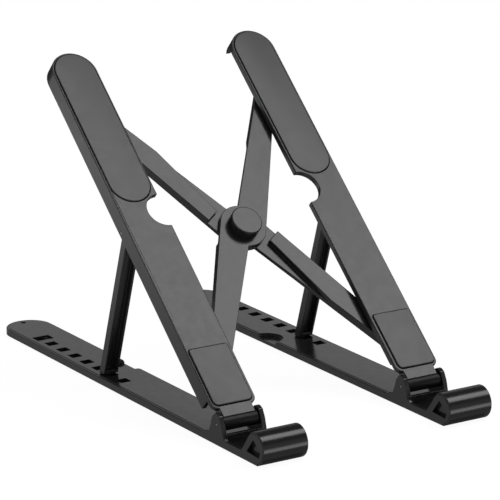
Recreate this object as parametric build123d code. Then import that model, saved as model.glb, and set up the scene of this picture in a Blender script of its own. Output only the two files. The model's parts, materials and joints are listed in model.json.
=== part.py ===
from build123d import *
import math
import os

# Folding X-frame laptop stand: two base rails with hooks at the front, two tilted arms
# hinged to them, two crossed bars that join the arms, and two props under the arms.
# Millimetres and degrees. X is the width, +Y the rear, +Z up, and Z = 0 the table.
# The origin is the bottom centre of the opened stand.

# ---- Driving dimensions ----
HALF_WIDTH = 64.7        # middle of the stand to its outer sides
SIDE_W = 24.4            # width of one rail, and of one arm
RAIL_LENGTH = 250.0
RAIL_TOP = 4.1
FOOT_PROUD = 0.3         # how far the rubber feet stand out below a rail
HOOK_REACH = 5.5         # hook's front, ahead of the rail's own front corner
TILT = 41.85             # angle of the arms to the table
ARM_LENGTH = 215.4       # hinge end of the arm's top face to its round upper end
ARM_PLATE = 3.07         # thickness of the arm's top plate
ARM_DEPTH = 8.77         # depth of the arm's outer wall
LOW_END_U = 11.5         # below this the arm is a thinner plate, clear of the rail's ears
LOW_END_PLATE = 2.2
TOP_CHAMFER = 0.35
WALL = 2.4               # thickness of the arm's wall and of the hinge ears
HUB_U = 103.1            # hub's place along the arms
END_WALL_U = 208.2       # where the wall round the arm's upper end stops on the inner side
BAR_ANGLE = 33.2         # each bar's pivot line to the arms' direction
PIVOT_INSET = 8.2        # bar pivots, from the arm's inner edge
PROP_LENGTH = 82.9       # prop's pivot to its heel
PROP_SLOPE = 72.3        # prop's angle to the table
GAP = 0.05               # radial running clearance of a pin in its bore
EAR_GAP = 0.3            # between the hinge sleeve and each ear
OVER = 1.0               # how far a cutting tool reaches past what it cuts

# ---- Places worked out from them ----
INNER = HALF_WIDTH - SIDE_W                  # inner side of the rail and the arm
MIDDLE = HALF_WIDTH - SIDE_W / 2             # centre line of the rail and the arm
ROUND = SIDE_W / 2                           # radius of their round ends
FRONT = -(RAIL_LENGTH - HOOK_REACH) / 2      # rail's front corner
REAR = FRONT + RAIL_LENGTH
RAIL_BOTTOM = FOOT_PROUD
HINGE_Y = FRONT + 35.5
HINGE_Z = 10.2
HINGE_U = -0.54                              # front hinge in the arm's own frame
HINGE_V = -3.6
BARREL_R = 3.6           # black sleeve round the hinge pin
TONGUE_END = 0.8         # where the arm's flat tongue stops, just above the sleeve
TONGUE_ROOT = 14.0       # where the tongue runs into the arm's plate
TONGUE_GAP = 0.7         # tongue is this much narrower than the sleeve at each end
PLATE_U0 = 5.5           # lower end of the arm's plate beside the tongue
PLATE_LOW_R = 3.6        # its corner radius there
tilt = math.radians(TILT)
ARM_Y = HINGE_Y - (HINGE_U * math.cos(tilt) - HINGE_V * math.sin(tilt))
ARM_Z = HINGE_Z - (HINGE_U * math.sin(tilt) + HINGE_V * math.cos(tilt))
ALONG_ARM = (0, math.cos(tilt), math.sin(tilt))
ARM_NORMAL = (0, -math.sin(tilt), math.cos(tilt))
# In the arm's frame x stays the width, u runs up the arm and v is height above its top face.
ARM_FRAME = Plane(origin=(0, ARM_Y, ARM_Z), x_dir=(1, 0, 0), z_dir=ARM_NORMAL).location

BARREL_X0 = INNER + WALL + EAR_GAP
BARREL_X1 = HALF_WIDTH - WALL - EAR_GAP
PIVOT_X = INNER + PIVOT_INSET
BAR_HALF = PIVOT_X / math.sin(math.radians(BAR_ANGLE))           # hub to each end pivot
PIVOT_RISE = PIVOT_X / math.tan(math.radians(BAR_ANGLE))
PIVOT_U = HUB_U - PIVOT_RISE
SLIDE_U = HUB_U + PIVOT_RISE
FOLDED_GAP = 0.4                                                 # between the folded sides
HUB_U_FOLDED = PIVOT_U + math.sqrt(BAR_HALF**2 - (PIVOT_INSET + FOLDED_GAP / 2)**2)
SLIDE_U_FOLDED = 2 * HUB_U_FOLDED - PIVOT_U

# Cross bars
BAR_TOP = -3.9
BAR_BOTTOM = -8.5
BAR_LEAF = 2.05          # thickness of a bar where the other one crosses it
EYE_R = 12.0
BAR_END_R = 5.0
BAR_INNER = 4.3          # bar's inner edge beside the hub, from the pivot line
BOX_START = 14.5         # where the full thickness begins, from the hub
BOX_CUT = 5.5            # full thickness is set back from the folded neighbour, at the hub
BOX_SLOPE = 0.1815
PIVOT_R = 1.5
PIVOT_BOSS_R = 3.4       # boss under the arm round the bar's pivot pin
RIVET_FLAT_R = 2.8       # flat heads of the pivot and slide pins
RIVET_FLAT_TOP = -7.75
RIVET_FLAT_BOTTOM = -8.45
COUNTERBORE = 0.1        # play of those heads in their counterbores, radial
PIN_SEAT = -1.6          # upper end of the pivot pin, inside the arm's plate
SHOE_R = 1.65            # slide pin's round shoe
GROOVE_R = 1.75          # half the width of the groove that it runs in
GROOVE_TOP = -1.55
SHOE_TOP = -1.7
SHOE_BOTTOM = -3.3
CAP_R = 8.03
CAP_TOP = 1.05
CAP_CHAMFER = 0.4
HEAD_CHAMFER = 0.6
RIVET_R = 2.0
RIVET_HEAD_R = 6.8
RIVET_HEAD_BOTTOM = -10.05
RIVET_TOP = -1.0
WASHER_R = 9.0
WASHER_Z = (-6.4, -6.0)
NOTCH_R = 9.2            # notch in the arm's inner edge that clears the hub when folded

# Props
PROP_U = 111.9
PROP_V = -7.1
PROP_X0 = 53.9
PROP_X1 = 62.1
PROP_T = 4.4
PIN_R = 1.0              # hinge pin and prop pin
PIN_TIP_R = 0.5          # their tips, which show in small holes
PIN_SKIN = 0.6           # wall left over the pins' shoulders
PROP_WEB = 1.5
PROP_FLANGE = 1.2
PROP_HOLLOW = (8.3, PROP_LENGTH - 3.4)       # ends of the channel in the prop's front
PROP_TOE = 1.7           # how far the prop's slanted end is set back at its front
LUG_X = (52.7, 53.7)     # lug under the arm that carries the inner end of the prop's pin
LUG_HALF = 4.0
LUG_BOTTOM = -8.7
PROP_PIN_X0 = 52.8
TIP_INSET = 0.1          # pins' tips lie this much inside the outer faces

# Pads
PAD_MARGIN = 1.25        # rim of the arm left around a pad
PAD_GAP = 0.25           # groove round a pad
PAD_SUNK = 0.9
LOW_PAD_U0 = 7.0
LOW_PAD_U1 = 38.7
HIGH_PAD_U0 = 124.0
LOW_PAD_INSET = 1.7      # low pad, from the arm's inner edge
LOW_PAD_PROUD = 0.75
HIGH_PAD_PROUD = 0.55
PAD_EDGE_R = 0.4
LOW_PAD_R = (2.8, 1.4)   # corner radii at its lower and upper ends
PAD_R = ROUND - PAD_MARGIN

# Rail
SLOT = 5.8
SLOT_X = 57.9
SLOT_PITCH = 12.09
SLOT_FIRST = FRONT + 132.2
SLOT_COUNT = 7
PARK_Y = FRONT + 215.7   # last slot, wider and stepped
PARK_HALF = 3.3
PARK_X = (52.2, 54.8, 61.6)                  # step, slot and outer edge
PARK_STEP = 1.2
REAR_HOLE_Y = FRONT + 244.9
REAR_HOLE_R = 1.3
POCKET_R = 8.4
POCKET_Y = FRONT + 153.6
POCKET_FLOOR = 2.1
POCKET_LEDGE = 0.9       # width of the ledge round the pocket
POCKET_LEDGE_Z = 3.2
HOOK_Y = FRONT + 2.5
HOOK_Z = 8.0
HOOK_R = 8.0
SLEEVE_T = 1.0
TROUGH_FLOOR = 1.7
TROUGH_Y0 = FRONT + 15.2
TROUGH_Y1 = FRONT + 28.8
TROUGH_PAD = 0.8         # thickness of the rubber on the trough's floor
# Low wall across the ears, in front of the hinge sleeve.
CROSS_WALL = [(28.8, RAIL_TOP - 1), (28.8, 6.7), (30.9, 6.7), (30.9, RAIL_TOP - 1)]
RIM = 1.25               # lower rim round the rail's top face
RIM_STEP = 0.25
RIM_CHAMFER = 0.35
FOOT_W = 9.0
FOOT_LET_IN = 0.9        # depth of the feet's recess in the rail
FOOT_PLACES = ((FRONT + 60.0, 60.0), (FRONT + 232.0, 16.0))      # middle and length of each foot
RAIL_START = FRONT + 14.0                                        # behind the hook
EAR_BACK = FRONT + 47.5
HOOK_SLOPE = [(RAIL_START, RAIL_TOP), (FRONT + 5.4, 15.3)]       # flat back of the hook
HOOK_POCKET = [(3.7, 11.9), (9.2, 5.0), (-1.2, 4.4), (-2.4, 7.6)]
HOOK_POCKET_DEPTH = 2.0
HOOK_BASE = [(HOOK_Y, HOOK_Z), (FRONT, RAIL_BOTTOM), (RAIL_START, RAIL_BOTTOM)]


def slab(x0, x1, y0, y1, z0, z1):
    """Box between two corners."""
    return Pos((x0 + x1) / 2, (y0 + y1) / 2, (z0 + z1) / 2) * Box(x1 - x0, y1 - y0, z1 - z0)


def post(x, y, radius, z0, z1):
    """Round post along Z."""
    return Pos(x, y, (z0 + z1) / 2) * Cylinder(radius, z1 - z0)


def axle(y, z, radius, x0, x1):
    """Round bar along X."""
    return Pos((x0 + x1) / 2, y, z) * Rot(0, 90, 0) * Cylinder(radius, x1 - x0)


def plate_yz(points, x0, x1):
    """Polygon in the YZ plane, thickened along X."""
    face = make_face(Plane.YZ * Polyline(*points, close=True))
    return Pos(x0, 0, 0) * extrude(face, x1 - x0, dir=(1, 0, 0))


def thick(face, z0, z1):
    """Flat face in XY, thickened from z0 to z1."""
    return Pos(0, 0, z0) * extrude(face, z1 - z0, dir=(0, 0, 1))


def lane(x0, x1, y0, y1):
    """Rectangle in XY between two corners."""
    return Pos((x0 + x1) / 2, (y0 + y1) / 2) * Rectangle(x1 - x0, y1 - y0)


def left_of(shape):
    """The same piece on the other side of the stand."""
    return mirror(shape, about=Plane.YZ)


# ---- Rail ----
def ear_outline():
    """Side view of a hinge ear and the wall it stands on."""
    spots = [(47.5, RAIL_TOP), (45.2, 4.3), (42.0, 5.8), (40.3, 9.8), (39.3, 13.1), (37.4, 15.2),
             (36.2, 15.7), (34.9, 15.6), (33.0, 14.6), (30.9, 10.6), (29.5, 5.5), (28.3, RAIL_TOP)]
    return [(FRONT + y, z) for y, z in spots]


def hook_core():
    """D-shaped hook that stops the laptop, with a pocket in each side, without its rubber sleeve."""
    solid = plate_yz(HOOK_SLOPE + HOOK_BASE, INNER, HALF_WIDTH)
    solid += axle(HOOK_Y, HOOK_Z, HOOK_R - SLEEVE_T, INNER, HALF_WIDTH)
    outline = [(FRONT + y, z) for y, z in HOOK_POCKET]
    solid -= plate_yz(outline, INNER - OVER, INNER + HOOK_POCKET_DEPTH)
    return solid - plate_yz(outline, HALF_WIDTH - HOOK_POCKET_DEPTH, HALF_WIDTH + OVER)


def sleeve():
    """Rubber sleeve round the hook's front."""
    ring = axle(HOOK_Y, HOOK_Z, HOOK_R, INNER, HALF_WIDTH)
    ring -= axle(HOOK_Y, HOOK_Z, HOOK_R - SLEEVE_T, INNER - OVER, HALF_WIDTH + OVER)
    far = 2 * HOOK_R
    behind = [HOOK_BASE[0], HOOK_SLOPE[1], (HOOK_SLOPE[1][0], HOOK_Z + far), (HOOK_Y + far, HOOK_Z + far),
              (HOOK_Y + far, HOOK_Z - far), (HOOK_BASE[1][0], HOOK_Z - far), HOOK_BASE[1]]
    return ring - plate_yz(behind, INNER - OVER, HALF_WIDTH + OVER)


def rail_outline(inset):
    """Rail seen from above behind its hook, with a margin taken off its sides and round end."""
    straight = lane(INNER + inset, HALF_WIDTH - inset, RAIL_START, REAR - ROUND)
    return straight + Pos(MIDDLE, REAR - ROUND) * Circle(ROUND - inset)


def rail():
    """Base rail with its hinge ears and hook core, slots for the prop's foot and hub pocket."""
    body = thick(rail_outline(0), RAIL_BOTTOM, RAIL_TOP - RIM_STEP)
    top = body.faces().sort_by(Axis.Z)[-1]
    body = chamfer([edge for edge in top.edges() if edge.center().Y > RAIL_START + 0.1], RIM_CHAMFER)
    body += thick(rail_outline(RIM), RAIL_BOTTOM, RAIL_TOP)
    body += slab(INNER, HALF_WIDTH, RAIL_START, EAR_BACK, RAIL_BOTTOM, RAIL_TOP)
    for x in (INNER, HALF_WIDTH - WALL):
        body += plate_yz(ear_outline(), x, x + WALL)
    wall = [(FRONT + y, z) for y, z in CROSS_WALL]
    body += plate_yz(wall, INNER + WALL / 2, HALF_WIDTH - WALL / 2)
    body -= slab(INNER + WALL, HALF_WIDTH - WALL, TROUGH_Y0, TROUGH_Y1, TROUGH_FLOOR, RAIL_TOP + OVER)
    body += hook_core()
    body -= axle(HINGE_Y, HINGE_Z, PIN_R, INNER + PIN_SKIN, HALF_WIDTH - PIN_SKIN)
    body -= axle(HINGE_Y, HINGE_Z, PIN_TIP_R, INNER - OVER, HALF_WIDTH + OVER)
    body -= prop_slots()
    body -= post(INNER, POCKET_Y, POCKET_R, POCKET_LEDGE_Z, RAIL_TOP + OVER)
    body -= post(INNER, POCKET_Y, POCKET_R - POCKET_LEDGE, POCKET_FLOOR, RAIL_TOP + OVER)
    body -= post(MIDDLE, REAR_HOLE_Y, REAR_HOLE_R, -OVER, RAIL_TOP + OVER)
    for y, length in FOOT_PLACES:
        body -= foot(y, length)
    return body


def prop_slots():
    """Square holes that take the prop's foot, and the stepped one where it is parked."""
    x0, x1 = SLOT_X - SLOT / 2, SLOT_X + SLOT / 2
    step, inner, outer = PARK_X
    y0, y1 = PARK_Y - PARK_HALF, PARK_Y + PARK_HALF
    holes = slab(inner, outer, y0, y1, -OVER, RAIL_TOP + OVER)
    holes += slab(step, outer, y0, y1, RAIL_TOP - PARK_STEP, RAIL_TOP + OVER)
    for n in range(SLOT_COUNT):
        y = SLOT_FIRST + n * SLOT_PITCH
        holes += slab(x0, x1, y - SLOT / 2, y + SLOT / 2, -OVER, RAIL_TOP + OVER)
    return holes


def foot(y, length):
    """Rubber foot let into the underside of a rail."""
    strip = Pos(MIDDLE, y) * SlotOverall(length, FOOT_W, rotation=90)
    return thick(strip, 0, RAIL_BOTTOM + FOOT_LET_IN)


def trough_pad():
    """Rubber on the floor of the trough that takes the laptop's front edge."""
    x0, x1 = INNER + WALL, HALF_WIDTH - WALL
    return slab(x0, x1, TROUGH_Y0, TROUGH_Y1, TROUGH_FLOOR, TROUGH_FLOOR + TROUGH_PAD)


def front_hinge_pin():
    """Steel pin with a thinner tip at each end."""
    body = axle(HINGE_Y, HINGE_Z, PIN_R, INNER + PIN_SKIN, HALF_WIDTH - PIN_SKIN)
    return body + axle(HINGE_Y, HINGE_Z, PIN_TIP_R, INNER + TIP_INSET, HALF_WIDTH - TIP_INSET)


# ---- Arm: everything below is in the arm's frame until it is placed ----
def arm_outline():
    face = lane(INNER, HALF_WIDTH, PLATE_U0, ARM_LENGTH - ROUND)
    face = fillet(face.vertices().group_by(Axis.Y)[0], PLATE_LOW_R)
    return face + Pos(MIDDLE, ARM_LENGTH - ROUND) * Circle(ROUND)


def low_pad_outline(grow=0.0):
    x0, x1 = INNER + LOW_PAD_INSET - grow, HALF_WIDTH - PAD_MARGIN + grow
    face = lane(x0, x1, LOW_PAD_U0 - grow, LOW_PAD_U1 + grow)
    low, high = LOW_PAD_R
    face = fillet(face.vertices().group_by(Axis.Y)[0], low + grow)
    return fillet(face.vertices().group_by(Axis.Y)[-1], high + grow)


def high_pad_outline(grow=0.0):
    radius = PAD_R + grow
    low_end = HIGH_PAD_U0 + PAD_R
    high_end = ARM_LENGTH - ROUND
    face = lane(MIDDLE - radius, MIDDLE + radius, low_end, high_end)
    return face + Pos(MIDDLE, low_end) * Circle(radius) + Pos(MIDDLE, high_end) * Circle(radius)


def arm():
    """Arm: flat top plate, one outer wall that turns round the upper end, and the hinge barrel."""
    body = thick(arm_outline(), -ARM_DEPTH, 0)
    channel = lane(INNER - OVER, HALF_WIDTH - WALL, 0, ARM_LENGTH - ROUND)
    channel += Pos(MIDDLE, ARM_LENGTH - ROUND) * Circle(ROUND - WALL)
    channel += lane(INNER - OVER, MIDDLE, 0, END_WALL_U)
    body -= thick(channel, -ARM_DEPTH - OVER, -ARM_PLATE)
    body -= slab(INNER - OVER, HALF_WIDTH + OVER, 0, LOW_END_U, -ARM_DEPTH - OVER, -LOW_END_PLATE)
    top = body.faces().sort_by(Axis.Z)[-1]
    body = chamfer(top.edges(), TOP_CHAMFER)
    # hinge tongue, seated on the sleeve round the pin
    tongue = [(TONGUE_END, 0), (TONGUE_ROOT, 0), (TONGUE_ROOT, -ARM_PLATE), (5.0, -5.0), (HINGE_U, HINGE_V)]
    body += plate_yz(tongue, BARREL_X0 + TONGUE_GAP, BARREL_X1 - TONGUE_GAP)
    body -= axle(HINGE_U, HINGE_V, BARREL_R, BARREL_X0 - OVER, BARREL_X1 + OVER)
    body -= thick(low_pad_outline(PAD_GAP), -PAD_SUNK, OVER)
    body -= thick(high_pad_outline(PAD_GAP), -PAD_SUNK, OVER)
    body -= post(INNER, HUB_U_FOLDED, NOTCH_R, -ARM_DEPTH - OVER, OVER)
    # lug and bores for the prop's pin
    root = -ARM_PLATE + 0.5
    body += slab(*LUG_X, PROP_U - LUG_HALF, PROP_U + LUG_HALF, LUG_BOTTOM, root)
    body -= axle(PROP_U, PROP_V, PIN_R, LUG_X[0] - OVER, HALF_WIDTH - PIN_SKIN)
    body -= axle(PROP_U, PROP_V, PIN_TIP_R, LUG_X[0] - OVER, HALF_WIDTH + OVER)
    # boss and blind bore for the bar's pivot pin
    body += post(PIVOT_X, PIVOT_U, PIVOT_BOSS_R, BAR_TOP + 0.1, root)
    body -= post(PIVOT_X, PIVOT_U, PIVOT_R, BAR_TOP - OVER, PIN_SEAT)
    return body - slide_groove()


def slide_groove():
    """Groove under the arm's plate for the slide pin's shoe."""
    groove = lane(PIVOT_X - GROOVE_R, PIVOT_X + GROOVE_R, SLIDE_U, SLIDE_U_FOLDED)
    for u in (SLIDE_U, SLIDE_U_FOLDED):
        groove += Pos(PIVOT_X, u) * Circle(GROOVE_R)
    return thick(groove, -ARM_PLATE - OVER, GROOVE_TOP)


def hinge_sleeve():
    """Black sleeve that turns on the hinge pin and carries the arm's tongue."""
    body = axle(HINGE_U, HINGE_V, BARREL_R, BARREL_X0, BARREL_X1)
    return body - axle(HINGE_U, HINGE_V, PIN_R + GAP, BARREL_X0 - OVER, BARREL_X1 + OVER)


def low_pad():
    """Rubber pad near the hinge."""
    body = thick(low_pad_outline(), -PAD_SUNK, LOW_PAD_PROUD)
    return fillet(body.faces().sort_by(Axis.Z)[-1].edges(), PAD_EDGE_R)


def high_pad():
    """Long rubber pad at the arm's upper end."""
    body = thick(high_pad_outline(), -PAD_SUNK, HIGH_PAD_PROUD)
    return fillet(body.faces().sort_by(Axis.Z)[-1].edges(), PAD_EDGE_R)


def prop_pin():
    """Steel pin with a thinner tip at its outer end."""
    body = axle(PROP_U, PROP_V, PIN_R, PROP_PIN_X0, HALF_WIDTH - PIN_SKIN)
    return body + axle(PROP_U, PROP_V, PIN_TIP_R, HALF_WIDTH - OVER, HALF_WIDTH - TIP_INSET)


def headed_pin(u, top):
    """Pin with a flat head, from under a bar up to a height in the arm's plate."""
    head = post(PIVOT_X, u, RIVET_FLAT_R, RIVET_FLAT_BOTTOM, RIVET_FLAT_TOP)
    return head + post(PIVOT_X, u, PIVOT_R, RIVET_FLAT_TOP - 0.1, top)


def bar_pivot_pin():
    """Headed rivet that holds a bar's lower end under the arm."""
    return headed_pin(PIVOT_U, PIN_SEAT)


def slide_pin():
    """Headed pin with a round shoe that runs in the arm's groove."""
    return headed_pin(SLIDE_U, SHOE_BOTTOM + 0.1) + post(PIVOT_X, SLIDE_U, SHOE_R, SHOE_BOTTOM, SHOE_TOP)


# ---- Cross bars ----
def bar_half(full_thickness):
    """Half of a bar: hub at the origin, end pivot up Y, the crossing bar on the +X side."""
    lean = math.asin((EYE_R - BAR_END_R) / BAR_HALF)
    edge = (-math.cos(lean), math.sin(lean))
    points = [(0, 0), (EYE_R * edge[0], EYE_R * edge[1]),
              (BAR_END_R * edge[0], BAR_HALF + BAR_END_R * edge[1]),
              (0, BAR_HALF), (BAR_END_R, BAR_HALF), (BAR_INNER, 0)]
    face = make_face(Polyline(*points, close=True)) + Pos(0, BAR_HALF) * Circle(BAR_END_R)
    if full_thickness:
        reach = BAR_HALF + 2 * BAR_END_R
        wide = 4 * EYE_R
        clear = [(-BOX_CUT, 0), (-BOX_CUT + BOX_SLOPE * reach, reach), (wide, reach), (wide, 0)]
        face -= make_face(Polyline(*clear, close=True))
        face -= lane(-wide, wide, -OVER, BOX_START)
    return face


def under_bar():
    """Bar whose thin leaf lies under the crossing bar's, in the arm's frame."""
    leaf = Circle(EYE_R) + bar_half(False) + Rot(0, 0, 180) * bar_half(False)
    body = thick(leaf, BAR_BOTTOM, BAR_BOTTOM + BAR_LEAF)
    for turn in (0, 180):
        body += Rot(0, 0, turn) * thick(bar_half(True), BAR_BOTTOM, BAR_TOP)
    body -= post(0, 0, RIVET_R + GAP, BAR_BOTTOM - OVER, BAR_TOP + OVER)
    for y in (-BAR_HALF, BAR_HALF):
        body -= post(0, y, PIVOT_R + GAP, BAR_BOTTOM - OVER, BAR_TOP + OVER)
    return Pos(0, HUB_U, 0) * Rot(0, 0, BAR_ANGLE) * body


def counterbores(side):
    """Recesses under a bar's ends for its pins' heads; side is that of its lower end, 1 or -1."""
    radius = RIVET_FLAT_R + COUNTERBORE
    low = post(side * PIVOT_X, PIVOT_U, radius, BAR_BOTTOM - OVER, RIVET_FLAT_TOP + GAP)
    return low + post(-side * PIVOT_X, SLIDE_U, radius, BAR_BOTTOM - OVER, RIVET_FLAT_TOP + GAP)


def bar_a():
    """Under bar, whose lower end is on the right."""
    return under_bar() - counterbores(1)


def bar_b():
    """The same bar turned over, so that its leaf lies on top."""
    turned = Pos(0, 0, BAR_TOP + BAR_BOTTOM) * mirror(left_of(under_bar()), about=Plane.XY)
    return turned - counterbores(-1)


def hub_cap():
    """Round cap over the bars' crossing, pressed on the rivet."""
    body = post(0, HUB_U, CAP_R, BAR_TOP, CAP_TOP)
    body = chamfer(body.faces().sort_by(Axis.Z)[-1].edges(), CAP_CHAMFER)
    return body - post(0, HUB_U, RIVET_R, BAR_TOP - OVER, RIVET_TOP)


def hub_rivet():
    """Rivet that the bars turn on, with a low head underneath."""
    head = post(0, HUB_U, RIVET_HEAD_R, RIVET_HEAD_BOTTOM, BAR_BOTTOM - GAP)
    head = chamfer(head.faces().sort_by(Axis.Z)[0].edges(), HEAD_CHAMFER)
    return head + post(0, HUB_U, RIVET_R, BAR_BOTTOM - 0.5, RIVET_TOP)


def hub_washer():
    """Thin slip washer between the two leaves."""
    low, high = WASHER_Z
    return post(0, HUB_U, WASHER_R, low, high) - post(0, HUB_U, RIVET_R + GAP, low - OVER, high + OVER)


# ---- Prop ----
def prop():
    """Channel-section prop, open to the front, in the opened position."""
    half = PROP_T / 2
    body = slab(PROP_X0, PROP_X1, 0, PROP_LENGTH, -half, half) + axle(0, 0, half, PROP_X0, PROP_X1)
    body -= slab(PROP_X0 + PROP_FLANGE, PROP_X1 - PROP_FLANGE, *PROP_HOLLOW, -half - OVER, half - PROP_WEB)
    toe = PROP_LENGTH - PROP_TOE
    past = PROP_LENGTH + OVER
    slant = [(PROP_LENGTH, half), (toe, -half), (toe, -half - OVER), (past, -half - OVER),
             (past, half + OVER), (PROP_LENGTH, half + OVER)]
    body -= plate_yz(slant, PROP_X0 - OVER, PROP_X1 + OVER)
    body -= axle(0, 0, PIN_R + GAP, PROP_X0 - OVER, PROP_X1 + OVER)
    slope = math.radians(PROP_SLOPE)
    pivot = ARM_FRAME * Pos(0, PROP_U, PROP_V)
    place = Plane(origin=pivot.position, x_dir=(1, 0, 0), z_dir=(0, math.sin(slope), math.cos(slope)))
    return place.location * body


def on_arm(shape):
    """Piece modelled in the arm's frame, put in its place on the opened stand."""
    return ARM_FRAME * shape


def nodes():
    """Every piece of the stand by name."""
    right = {
        "rail": rail(),
        "hook_sleeve": sleeve(),
        "front_foot": foot(*FOOT_PLACES[0]),
        "rear_foot": foot(*FOOT_PLACES[1]),
        "trough_pad": trough_pad(),
        "hinge_pin": front_hinge_pin(),
        "arm": on_arm(arm()),
        "hinge_sleeve": on_arm(hinge_sleeve()),
        "lower_pad": on_arm(low_pad()),
        "upper_pad": on_arm(high_pad()),
        "prop_pin": on_arm(prop_pin()),
        "bar_pivot_pin": on_arm(bar_pivot_pin()),
        "slide_pin": on_arm(slide_pin()),
        "prop": prop(),
    }
    pieces = {}
    for name, shape in right.items():
        pieces["right_" + name] = shape
        pieces["left_" + name] = left_of(shape)
    pieces["bar_a"] = on_arm(bar_a())
    pieces["bar_b"] = on_arm(bar_b())
    pieces["hub_cap"] = on_arm(hub_cap())
    pieces["hub_rivet"] = on_arm(hub_rivet())
    pieces["hub_washer"] = on_arm(hub_washer())
    return pieces


os.makedirs("parts", exist_ok=True)
for name, shape in nodes().items():
    export_step(shape, f"parts/{name}.step")
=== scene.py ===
import json
import math

import bmesh
import bpy
from mathutils import Matrix, Vector


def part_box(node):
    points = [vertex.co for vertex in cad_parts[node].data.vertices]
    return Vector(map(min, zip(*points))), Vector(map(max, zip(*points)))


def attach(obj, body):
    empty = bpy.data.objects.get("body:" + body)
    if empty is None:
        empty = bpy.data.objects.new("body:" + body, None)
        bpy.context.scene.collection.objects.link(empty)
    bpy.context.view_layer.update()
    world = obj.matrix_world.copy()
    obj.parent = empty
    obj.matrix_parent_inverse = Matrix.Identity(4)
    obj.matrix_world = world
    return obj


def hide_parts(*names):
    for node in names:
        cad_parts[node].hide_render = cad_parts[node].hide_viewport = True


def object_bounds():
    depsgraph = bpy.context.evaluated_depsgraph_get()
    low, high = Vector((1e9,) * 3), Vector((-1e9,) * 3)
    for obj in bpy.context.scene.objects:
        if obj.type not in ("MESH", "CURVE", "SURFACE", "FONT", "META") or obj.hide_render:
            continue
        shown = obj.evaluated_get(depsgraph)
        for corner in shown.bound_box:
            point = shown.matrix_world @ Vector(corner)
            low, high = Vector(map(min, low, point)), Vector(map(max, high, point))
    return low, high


# Folding X-frame laptop stand. Lengths are in metres; MM turns millimetres into them.
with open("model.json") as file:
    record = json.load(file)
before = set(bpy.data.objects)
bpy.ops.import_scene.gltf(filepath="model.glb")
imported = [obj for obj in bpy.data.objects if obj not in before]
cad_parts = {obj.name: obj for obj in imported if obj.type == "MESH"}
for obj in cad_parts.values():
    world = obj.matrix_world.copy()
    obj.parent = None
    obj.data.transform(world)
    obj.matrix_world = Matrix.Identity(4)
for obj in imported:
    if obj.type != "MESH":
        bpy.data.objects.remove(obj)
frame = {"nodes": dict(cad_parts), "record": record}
CAD_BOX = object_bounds()

MM = 0.001
LOW, HIGH = CAD_BOX
CENTRE = (LOW + HIGH) / 2

# Camera: azimuth 0 looks along +Y, and elevation is above the table.
CAMERA_AZIMUTH = -32.68
CAMERA_ELEVATION = 15.59
CAMERA_SPOT = Vector((-0.7760, -1.22485, 0.4690))
CAMERA_LENS = 219.3
CAMERA_SENSOR = 36.0
CAMERA_CLIP = (0.05, 20.0)

# Light: directions point from the stand to each soft box, and SHIFT moves a box in its own plane.
KEY_WAY = Vector((0.52, -0.18, 0.83))
KEY_FAR = 1.7
KEY_SIZE = (1.5, 0.72)
KEY_SHIFT = (-0.15, -0.10)
KEY_TURN = -25.0
KEY_GLOW = 4.2
FILL_WAY = Vector((-0.62, 0.35, 0.70))
FILL_FAR = 1.9
FILL_SIZE = (0.9, 0.9)
FILL_GLOW = 0.7
# Sky: height of the direction, from straight down to straight up, and its brightness.
SKY_BACK = ((-1.0, 0.03), (0.10, 0.03), (0.22, 0.52), (0.36, 0.52), (0.55, 0.15), (1.0, 0.1))
SKY_FRONT = ((-1.0, 0.1), (-0.1, 0.5), (0.3, 0.55), (0.6, 0.12), (1.0, 0.1))
SKY_TURN = (-0.5, 0.0)       # Y of the direction where the front sky gives way to the back one
SKY_FADE = (0.58, 0.82)      # X of the direction between which the sky darkens
SKY_DARK = 0.12
# Table as the glossy plastic sees it: distance from the nearer rail's footprint, and brightness.
BOUNCE = ((0.0, 0.10), (0.004, 0.38), (0.055, 0.43), (0.08, 0.57), (0.2, 0.70), (0.32, 0.92), (0.5, 1.6))
BOUNCE_DROP = 0.002
BOUNCE_END_WAY = (1.2, 1.0, 0.0)             # the table's light ends towards the right rear
BOUNCE_END = (0.2, 0.35)
BOUNCE_LEFT = 0.03                           # share of the light beyond that end
# White card on the table in front of the hooks.
CARD_X = (-0.08, 0.35)
CARD_Y = (-0.30, -0.148)
CARD_GLOW = 3.0
FLOOR_GLOW = 0.95
FLOOR_TONES = ((0.10, 0.10, 0.10), (0.12, 0.12, 0.12))
WIDE = (-6.0, 6.0)

# Materials: noise scales are in features per metre, bump depths in millimetres, and a drift is how far a
# shade or a roughness goes up and down from its middle.
PLASTIC_CLOUDS = 60.0
PLASTIC_CLOUD_DRIFT = 0.06
PLASTIC_SHEEN = 240.0
PLASTIC_SHEEN_DRIFT = 0.07
PLASTIC_WAVE = 25.0
PLASTIC_WAVE_DEPTH = 0.05
PLASTIC_TOOTH = 3200.0
RUBBED_AND_HIGHLIT_EDGES = (0.53, 0.62)          # pointiness at which an edge starts and ends to look worn by rubbing and to carry a painted highlight
RUBBED_AND_HIGHLIT_GAIN = 1.9              # how much paler a worn edge with its painted highlight is
RUBBED_AND_HIGHLIT_LIFT = 0.01
RUBBER_CLOUDS = 45.0
RUBBER_CLOUD_DRIFT = 0.05
RUBBER_SHEEN = 180.0
RUBBER_SHEEN_DRIFT = 0.05
RUBBER_TOOTH = 4200.0
DUST = 1500.0
DUST_FROM = (0.70, 0.78)     # noise at which a speck starts and is full
DUST_GAIN = 1.25
DUST_SHARE = 0.5
STEEL_TONES = ((0.30, 0.30, 0.305), (0.42, 0.42, 0.425))
STEEL_MARKS = 900.0
STEEL_SHEEN = 2600.0
STEEL_ROUGHNESS = 0.31
STEEL_SHEEN_DRIFT = 0.09
STEEL_TOOTH = 5200.0
STEEL_TOOTH_DEPTH = 0.004

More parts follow.
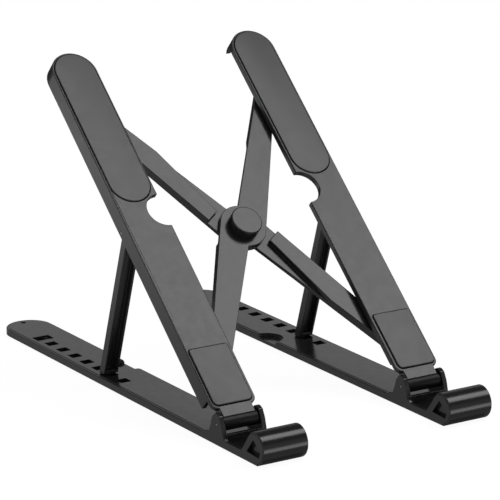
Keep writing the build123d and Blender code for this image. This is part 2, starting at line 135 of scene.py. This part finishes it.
# Rounding: edges sharper than SHARP degrees. On a rail the edges of the ears and the trough, at EAR_REACH
# millimetres from the hinge and above EAR_LOW, are rounded fully and the others by RAIL_SHARE of that.
SHARP = 32.0
EAR_REACH = (-21.0, 12.2)
EAR_LOW = 4.0
EAR_THICK = 3.0
RAIL_SHARE = 0.4
HINGE_Y = sum(corner[1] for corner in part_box("left_hinge_pin")) / 2
MERGE = 0.002                # millimetres between corners that are one
CRUMB = 0.001                # the same, after rounding
LEVEL = 0.4                  # degrees between faces that are one flat face


# ---- Camera, light and floor ----
def make_camera():
    """Long lens at the angle that shows the stand's left side and its front."""
    data = bpy.data.cameras.new("camera")
    data.lens = CAMERA_LENS
    data.sensor_width = CAMERA_SENSOR
    data.clip_start, data.clip_end = CAMERA_CLIP
    camera = bpy.data.objects.new("camera", data)
    camera.location = CAMERA_SPOT
    camera.rotation_euler = (math.radians(90 - CAMERA_ELEVATION), 0, math.radians(CAMERA_AZIMUTH))
    bpy.context.scene.collection.objects.link(camera)
    bpy.context.scene.camera = camera


def soft_box(name, way, far, size, glow, shift=(0, 0), turn=0.0):
    """Rectangular soft box whose long side lies as near to X as it can; glow is its radiance."""
    data = bpy.data.lights.new(name, "AREA")
    data.shape = "RECTANGLE"
    data.size, data.size_y = size
    data.energy = glow * math.pi * size[0] * size[1]
    out = way.normalized()
    across = (Vector((1, 0, 0)) - out * out.x).normalized()
    up = out.cross(across)
    spot = CENTRE + out * far + across * shift[0] + up * shift[1]
    facing = Matrix((across, up, out)).transposed().to_4x4()
    lamp = bpy.data.objects.new(name, data)
    lamp.matrix_world = Matrix.Translation(spot) @ facing @ Matrix.Rotation(math.radians(turn), 4, "Z")
    bpy.context.scene.collection.objects.link(lamp)


def set_levels(levels, rows):
    """Fills a colour ramp with grey levels at given positions."""
    while len(levels.color_ramp.elements) < len(rows):
        levels.color_ramp.elements.new(0.5)
    for element, (position, glow) in zip(levels.color_ramp.elements, rows):
        element.position = position
        element.color = (glow, glow, glow, 1)


def scaled(nodes, links, value, start, stop, low=0.0, high=1.0):
    """Maps start to stop onto low to high, and holds it beyond."""
    node = nodes.new("ShaderNodeMapRange")
    for name, number in (("From Min", start), ("From Max", stop), ("To Min", low), ("To Max", high)):
        node.inputs[name].default_value = number
    links.new(value, node.inputs["Value"])
    return node.outputs["Result"]


def make_sky():
    """Grey horizon in front and behind, darker overhead, towards the right and low behind."""
    world = bpy.data.worlds.new("studio")
    bpy.context.scene.world = world
    world.use_nodes = True
    nodes, links = world.node_tree.nodes, world.node_tree.links
    place = nodes.new("ShaderNodeTexCoord")
    split = nodes.new("ShaderNodeSeparateXYZ")
    links.new(place.outputs["Generated"], split.inputs["Vector"])
    height = scaled(nodes, links, split.outputs["Z"], -1.0, 1.0)
    blend = nodes.new("ShaderNodeMix")
    blend.data_type = "RGBA"
    links.new(scaled(nodes, links, split.outputs["Y"], *SKY_TURN), blend.inputs["Factor"])
    for rows, socket in ((SKY_FRONT, "A"), (SKY_BACK, "B")):
        levels = nodes.new("ShaderNodeValToRGB")
        set_levels(levels, [((level + 1) / 2, glow) for level, glow in rows])
        links.new(height, levels.inputs["Fac"])
        links.new(levels.outputs["Color"], blend.inputs[socket])
    links.new(blend.outputs["Result"], nodes["Background"].inputs["Color"])
    fade = scaled(nodes, links, split.outputs["X"], *SKY_FADE, 1.0, SKY_DARK)
    links.new(fade, nodes["Background"].inputs["Strength"])


def make_light():
    """Soft box above the right front, a weaker one behind on the left, and the sky."""
    soft_box("key", KEY_WAY, KEY_FAR, KEY_SIZE, KEY_GLOW, KEY_SHIFT, KEY_TURN)
    soft_box("fill", FILL_WAY, FILL_FAR, FILL_SIZE, FILL_GLOW)
    make_sky()
    bpy.context.scene.view_settings.view_transform = "Standard"


def flat_sheet(name, across, along, z):
    """Horizontal rectangle that isn't part of the stand."""
    (x0, x1), (y0, y1) = across, along
    mesh = bpy.data.meshes.new(name)
    mesh.from_pydata([(x0, y0, z), (x1, y0, z), (x1, y1, z), (x0, y1, z)], [], [(0, 1, 2, 3)])
    sheet = bpy.data.objects.new(name, mesh)
    bpy.context.scene.collection.objects.link(sheet)
    return sheet


def make_floor():
    """Plain pale table top."""
    floor = flat_sheet("floor", WIDE, WIDE, 0.0)
    material, nodes, links, shader = new_material("floor_white")
    shader.inputs["Roughness"].default_value = 0.8
    shader.inputs["Specular IOR Level"].default_value = 0.1
    links.new(mottle(nodes, links, 3.0, *FLOOR_TONES), shader.inputs["Base Color"])
    shader.inputs["Emission Color"].default_value = (1, 1, 1, 1)
    shader.inputs["Emission Strength"].default_value = FLOOR_GLOW
    floor.data.materials.append(material)
    floor.visible_diffuse = False
    floor.visible_glossy = False


def glow_material(name, strength):
    """Black surface that only gives off light."""
    material, nodes, links, shader = new_material(name)
    shader.inputs["Base Color"].default_value = (0, 0, 0, 1)
    shader.inputs["Specular IOR Level"].default_value = 0.0
    shader.inputs["Emission Color"].default_value = (1, 1, 1, 1)
    shader.inputs["Emission Strength"].default_value = strength
    return material, nodes, links, shader


def vector_step(nodes, links, operation, vector, other=None, output="Vector"):
    """One step of vector arithmetic."""
    step = nodes.new("ShaderNodeVectorMath")
    step.operation = operation
    links.new(vector, step.inputs[0])
    if other is not None:
        step.inputs[1].default_value = other
    return step.outputs[output]


def make_bounce():
    """Light that the table sends back, dimmer close to the stand; seen only in reflections."""
    sheet = flat_sheet("bounce", WIDE, WIDE, -BOUNCE_DROP)
    top = max(glow for _, glow in BOUNCE)
    reach = BOUNCE[-1][0]
    material, nodes, links, shader = glow_material("bounce_glow", top)
    place = nodes.new("ShaderNodeTexCoord")
    vector = place.outputs["Object"]
    rail_low, rail_high = (Vector(corner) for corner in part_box("right_rail"))
    middle = (rail_low + rail_high) / 2
    half = (rail_high - rail_low) / 2
    for operation, other in (("SUBTRACT", (0, middle.y, 0)), ("ABSOLUTE", None),
                             ("SUBTRACT", (middle.x, 0, 0)), ("ABSOLUTE", None), ("SUBTRACT", half),
                             ("MAXIMUM", (0, 0, 0)), ("MULTIPLY", (1, 1, 0))):
        vector = vector_step(nodes, links, operation, vector, other)
    far = vector_step(nodes, links, "LENGTH", vector, output="Value")
    levels = nodes.new("ShaderNodeValToRGB")
    set_levels(levels, [(distance / reach, glow / top) for distance, glow in BOUNCE])
    links.new(scaled(nodes, links, far, 0.0, reach), levels.inputs["Fac"])
    slant = vector_step(nodes, links, "DOT_PRODUCT", place.outputs["Object"], BOUNCE_END_WAY, "Value")
    end = nodes.new("ShaderNodeVectorMath")
    end.operation = "SCALE"
    links.new(levels.outputs["Color"], end.inputs[0])
    links.new(scaled(nodes, links, slant, *BOUNCE_END, 1.0, BOUNCE_LEFT), end.inputs["Scale"])
    links.new(end.outputs["Vector"], shader.inputs["Emission Color"])
    card = flat_sheet("card", CARD_X, CARD_Y, -BOUNCE_DROP / 2)
    card.data.materials.append(glow_material("card_glow", CARD_GLOW)[0])
    sheet.data.materials.append(material)
    for light in (sheet, card):
        light.visible_camera = False
        light.visible_shadow = False


# ---- Materials ----
def new_material(name):
    """Node material with one Principled shader."""
    material = bpy.data.materials.new(name)
    material.use_nodes = True
    nodes = material.node_tree.nodes
    return material, nodes, material.node_tree.links, nodes["Principled BSDF"]


def noise(nodes, links, scale, detail=2.0, roughness=0.5):
    """Solid noise in the object's own space; scale is in features per metre."""
    place = nodes.new("ShaderNodeTexCoord")
    texture = nodes.new("ShaderNodeTexNoise")
    texture.inputs["Scale"].default_value = scale
    texture.inputs["Detail"].default_value = detail
    texture.inputs["Roughness"].default_value = roughness
    links.new(place.outputs["Object"], texture.inputs["Vector"])
    return texture.outputs["Fac"]


def ramp(nodes, links, value, low, high, start=0.3, stop=0.7):
    """Turns a 0 to 1 value into a colour between two shades."""
    node = nodes.new("ShaderNodeValToRGB")
    node.color_ramp.elements[0].position = start
    node.color_ramp.elements[1].position = stop
    node.color_ramp.elements[0].color = (*low, 1)
    node.color_ramp.elements[1].color = (*high, 1)
    links.new(value, node.inputs["Fac"])
    return node.outputs["Color"]


def mottle(nodes, links, scale, low, high):
    """Slow cloudy change between two colours."""
    return ramp(nodes, links, noise(nodes, links, scale, 3.0), low, high)


def varied(nodes, links, value, middle, reach):
    """Maps a 0 to 1 value onto a range round a middle."""
    return scaled(nodes, links, value, 0.0, 1.0, middle - reach, middle + reach)


def clouded(nodes, links, scale, shade, drift):
    """Shade that drifts a little darker and paler."""
    dark, pale = (tuple(c * share for c in shade) for share in (1 - drift, 1 + drift))
    return mottle(nodes, links, scale, dark, pale)


def covered(nodes, links, under, shade, amount):
    """Lays a plain shade over a colour where amount is above 0."""
    mix = nodes.new("ShaderNodeMix")
    mix.data_type = "RGBA"
    mix.inputs["B"].default_value = (*(min(1.0, c) for c in shade), 1)
    links.new(amount, mix.inputs["Factor"])
    links.new(under, mix.inputs["A"])
    return mix.outputs["Result"]


def bump(nodes, links, height, distance, under=None):
    """Bump of a real depth in metres."""
    node = nodes.new("ShaderNodeBump")
    node.inputs["Distance"].default_value = distance
    node.inputs["Strength"].default_value = 1.0
    links.new(height, node.inputs["Height"])
    if under is not None:
        links.new(under, node.inputs["Normal"])
    return node.outputs["Normal"]


def moulded_plastic(name, shade, roughness, grain=0.010, gloss=0.5, rub_and_highlight=0.25):
    """Eroded-mould ABS: fine grain, faint cloudiness, and edges a little paler, partly worn by rubbing and
    partly a painted highlight.
    """
    material, nodes, links, shader = new_material(name)
    body = clouded(nodes, links, PLASTIC_CLOUDS, shade, PLASTIC_CLOUD_DRIFT)
    corner = nodes.new("ShaderNodeNewGeometry")
    # Convex edges painted paler by pointiness: partly worn by rubbing, partly a painted highlight along the
    # bevels.
    rubbed_and_highlit = scaled(nodes, links, corner.outputs["Pointiness"], *RUBBED_AND_HIGHLIT_EDGES, 0.0, rub_and_highlight)
    pale = tuple(c * RUBBED_AND_HIGHLIT_GAIN + RUBBED_AND_HIGHLIT_LIFT for c in shade)
    links.new(covered(nodes, links, body, pale, rubbed_and_highlit), shader.inputs["Base Color"])
    sheen = noise(nodes, links, PLASTIC_SHEEN, 4.0, 0.6)
    links.new(varied(nodes, links, sheen, roughness, PLASTIC_SHEEN_DRIFT), shader.inputs["Roughness"])
    shader.inputs["Specular IOR Level"].default_value = gloss
    wave = bump(nodes, links, noise(nodes, links, PLASTIC_WAVE, 1.0), PLASTIC_WAVE_DEPTH * MM)
    fine = bump(nodes, links, noise(nodes, links, PLASTIC_TOOTH, 3.0, 0.65), grain * MM, under=wave)
    links.new(fine, shader.inputs["Normal"])
    return material


def rubber(name, shade, roughness, grain=0.012, gloss=0.35):
    """Silicone rubber: even, soft sheen, very fine tooth and a little dust."""
    material, nodes, links, shader = new_material(name)
    body = clouded(nodes, links, RUBBER_CLOUDS, shade, RUBBER_CLOUD_DRIFT)
    specks = ramp(nodes, links, noise(nodes, links, DUST), (0, 0, 0), (1, 1, 1), *DUST_FROM)
    dust = scaled(nodes, links, specks, 0.0, 1.0, 0.0, DUST_SHARE)
    pale = tuple(c * DUST_GAIN for c in shade)
    links.new(covered(nodes, links, body, pale, dust), shader.inputs["Base Color"])
    sheen = noise(nodes, links, RUBBER_SHEEN, 3.0)
    links.new(varied(nodes, links, sheen, roughness, RUBBER_SHEEN_DRIFT), shader.inputs["Roughness"])
    shader.inputs["Specular IOR Level"].default_value = gloss
    fine = bump(nodes, links, noise(nodes, links, RUBBER_TOOTH, 2.0, 0.7), grain * MM)
    links.new(fine, shader.inputs["Normal"])
    return material


def turned_steel(name):
    """Bright steel with fine turning marks."""
    material, nodes, links, shader = new_material(name)
    links.new(mottle(nodes, links, STEEL_MARKS, *STEEL_TONES), shader.inputs["Base Color"])
    shader.inputs["Metallic"].default_value = 1.0
    sheen = noise(nodes, links, STEEL_SHEEN, 3.0)
    rough = varied(nodes, links, sheen, STEEL_ROUGHNESS, STEEL_SHEEN_DRIFT)
    links.new(rough, shader.inputs["Roughness"])
    fine = bump(nodes, links, noise(nodes, links, STEEL_TOOTH), STEEL_TOOTH_DEPTH * MM)
    links.new(fine, shader.inputs["Normal"])
    return material


# ---- Meshes ----
def add_piece(name, mesh, body, material):
    """New piece on a body and a material."""
    piece = bpy.data.objects.new(name, mesh)
    bpy.context.scene.collection.objects.link(piece)
    mesh.materials.clear()
    mesh.materials.append(material)
    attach(piece, body)
    return piece


def round_weight(edge, place, ears):
    """Share of the rounding that an edge gets; the outer edges round a rail's ears get all of it."""
    if not edge.is_manifold or edge.calc_face_angle() < math.radians(SHARP):
        return 0.0
    if not ears:
        return 1.0
    start, stop = (place @ corner.co for corner in edge.verts)
    middle = (start + stop) / 2
    near = EAR_REACH[0] * MM < middle.y - HINGE_Y < EAR_REACH[1] * MM and middle.z > EAR_LOW * MM
    return 1.0 if near and edge.is_convex and abs(stop.x - start.x) < EAR_THICK * MM else RAIL_SHARE


def refined(node, round_mm, segments):
    """The node's shape with merged faces and every sharp edge rounded off."""
    piece = frame["nodes"][node]
    shape = bmesh.new()
    shape.from_mesh(piece.data)
    bmesh.ops.remove_doubles(shape, verts=shape.verts, dist=MERGE * MM)
    bmesh.ops.dissolve_limit(shape, angle_limit=math.radians(LEVEL), verts=shape.verts, edges=shape.edges)
    weight = shape.edges.layers.float.new("bevel_weight_edge")
    for edge in shape.edges:
        edge[weight] = round_weight(edge, piece.matrix_world, node.endswith("rail"))
    mesh = bpy.data.meshes.new(node + "_shell")
    shape.to_mesh(mesh)
    shape.free()
    for attribute in ("custom_normal", "sharp_face"):
        if attribute in mesh.attributes:
            mesh.attributes.remove(mesh.attributes[attribute])
    holder = bpy.data.objects.new("holder", mesh)
    bpy.context.scene.collection.objects.link(holder)
    for polygon in mesh.polygons:
        polygon.use_smooth = True
    bevel = holder.modifiers.new("round", "BEVEL")
    bevel.width = round_mm * MM
    bevel.segments = segments
    bevel.limit_method = "WEIGHT"
    bevel.use_clamp_overlap = False
    bevel.harden_normals = True
    bevel.miter_outer = "MITER_ARC"
    graph = bpy.context.evaluated_depsgraph_get()
    made = bpy.data.meshes.new_from_object(holder.evaluated_get(graph))
    tidy = bmesh.new()
    tidy.from_mesh(made)
    bmesh.ops.remove_doubles(tidy, verts=tidy.verts, dist=CRUMB * MM)
    tidy.to_mesh(made)
    tidy.free()
    bpy.data.objects.remove(holder)
    made.name = node + "_shell"
    return made


def place_of(node):
    """The body that a CAD node rides on."""
    for body, members in frame["record"]["behaviour"]["bodies"].items():
        if node in members:
            return body


SLOTS = {row["node"]: row["material_slot"] for row in frame["record"]["subparts"]}

make_camera()
make_light()
make_floor()
make_bounce()

MATERIALS = {
    "rail_plastic": moulded_plastic("rail_plastic", (0.014, 0.014, 0.0142), 0.2, grain=0.002),
    "arm_plastic": moulded_plastic("arm_plastic", (0.022, 0.022, 0.0222), 0.32, grain=0.003),
    "bar_plastic": moulded_plastic("bar_plastic", (0.016, 0.016, 0.0162), 0.21, grain=0.003, gloss=0.4),
    "prop_plastic": moulded_plastic("prop_plastic", (0.018, 0.018, 0.0182), 0.32, grain=0.003),
    "pad_rubber": rubber("pad_rubber", (0.028, 0.028, 0.0282), 0.34, grain=0.002, gloss=0.49),
    "hook_rubber": rubber("hook_rubber", (0.008, 0.008, 0.008), 0.21, grain=0.002, gloss=0.46),
    "foot_rubber": rubber("foot_rubber", (0.02, 0.02, 0.0205), 0.6),
    "sleeve_plastic": moulded_plastic("sleeve_plastic", (0.008, 0.008, 0.008), 0.42, grain=0.004, gloss=0.22),
    "steel": turned_steel("steel"),
    "washer_plastic": moulded_plastic("washer_plastic", (0.02, 0.02, 0.0205), 0.3),
}

# How far each kind of piece has its edges rounded, in millimetres, and in how many steps.
ROUNDING = {
    "rail": (0.3, 2), "hook_sleeve": (0.32, 3), "front_foot": (0.3, 3), "rear_foot": (0.3, 3),
    "trough_pad": (0.2, 3), "hinge_pin": (0.15, 3), "arm": (0.3, 2), "hinge_sleeve": (0.25, 3),
    "lower_pad": (0.3, 3), "upper_pad": (0.3, 3), "prop_pin": (0.15, 3), "bar_pivot_pin": (0.15, 3),
    "slide_pin": (0.15, 3), "prop": (0.3, 2), "bar_a": (0.35, 2), "bar_b": (0.35, 2),
    "hub_cap": (0.3, 3), "hub_rivet": (0.25, 3), "hub_washer": (0.1, 2),
}

for node, piece in frame["nodes"].items():
    material = MATERIALS[SLOTS[node]]
    piece.data.materials.clear()
    piece.data.materials.append(material)
    kind = node.removeprefix("left_").removeprefix("right_")
    mesh = refined(node, *ROUNDING[kind])
    shell = add_piece(node + "_shell", mesh, place_of(node), material)
    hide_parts(node)
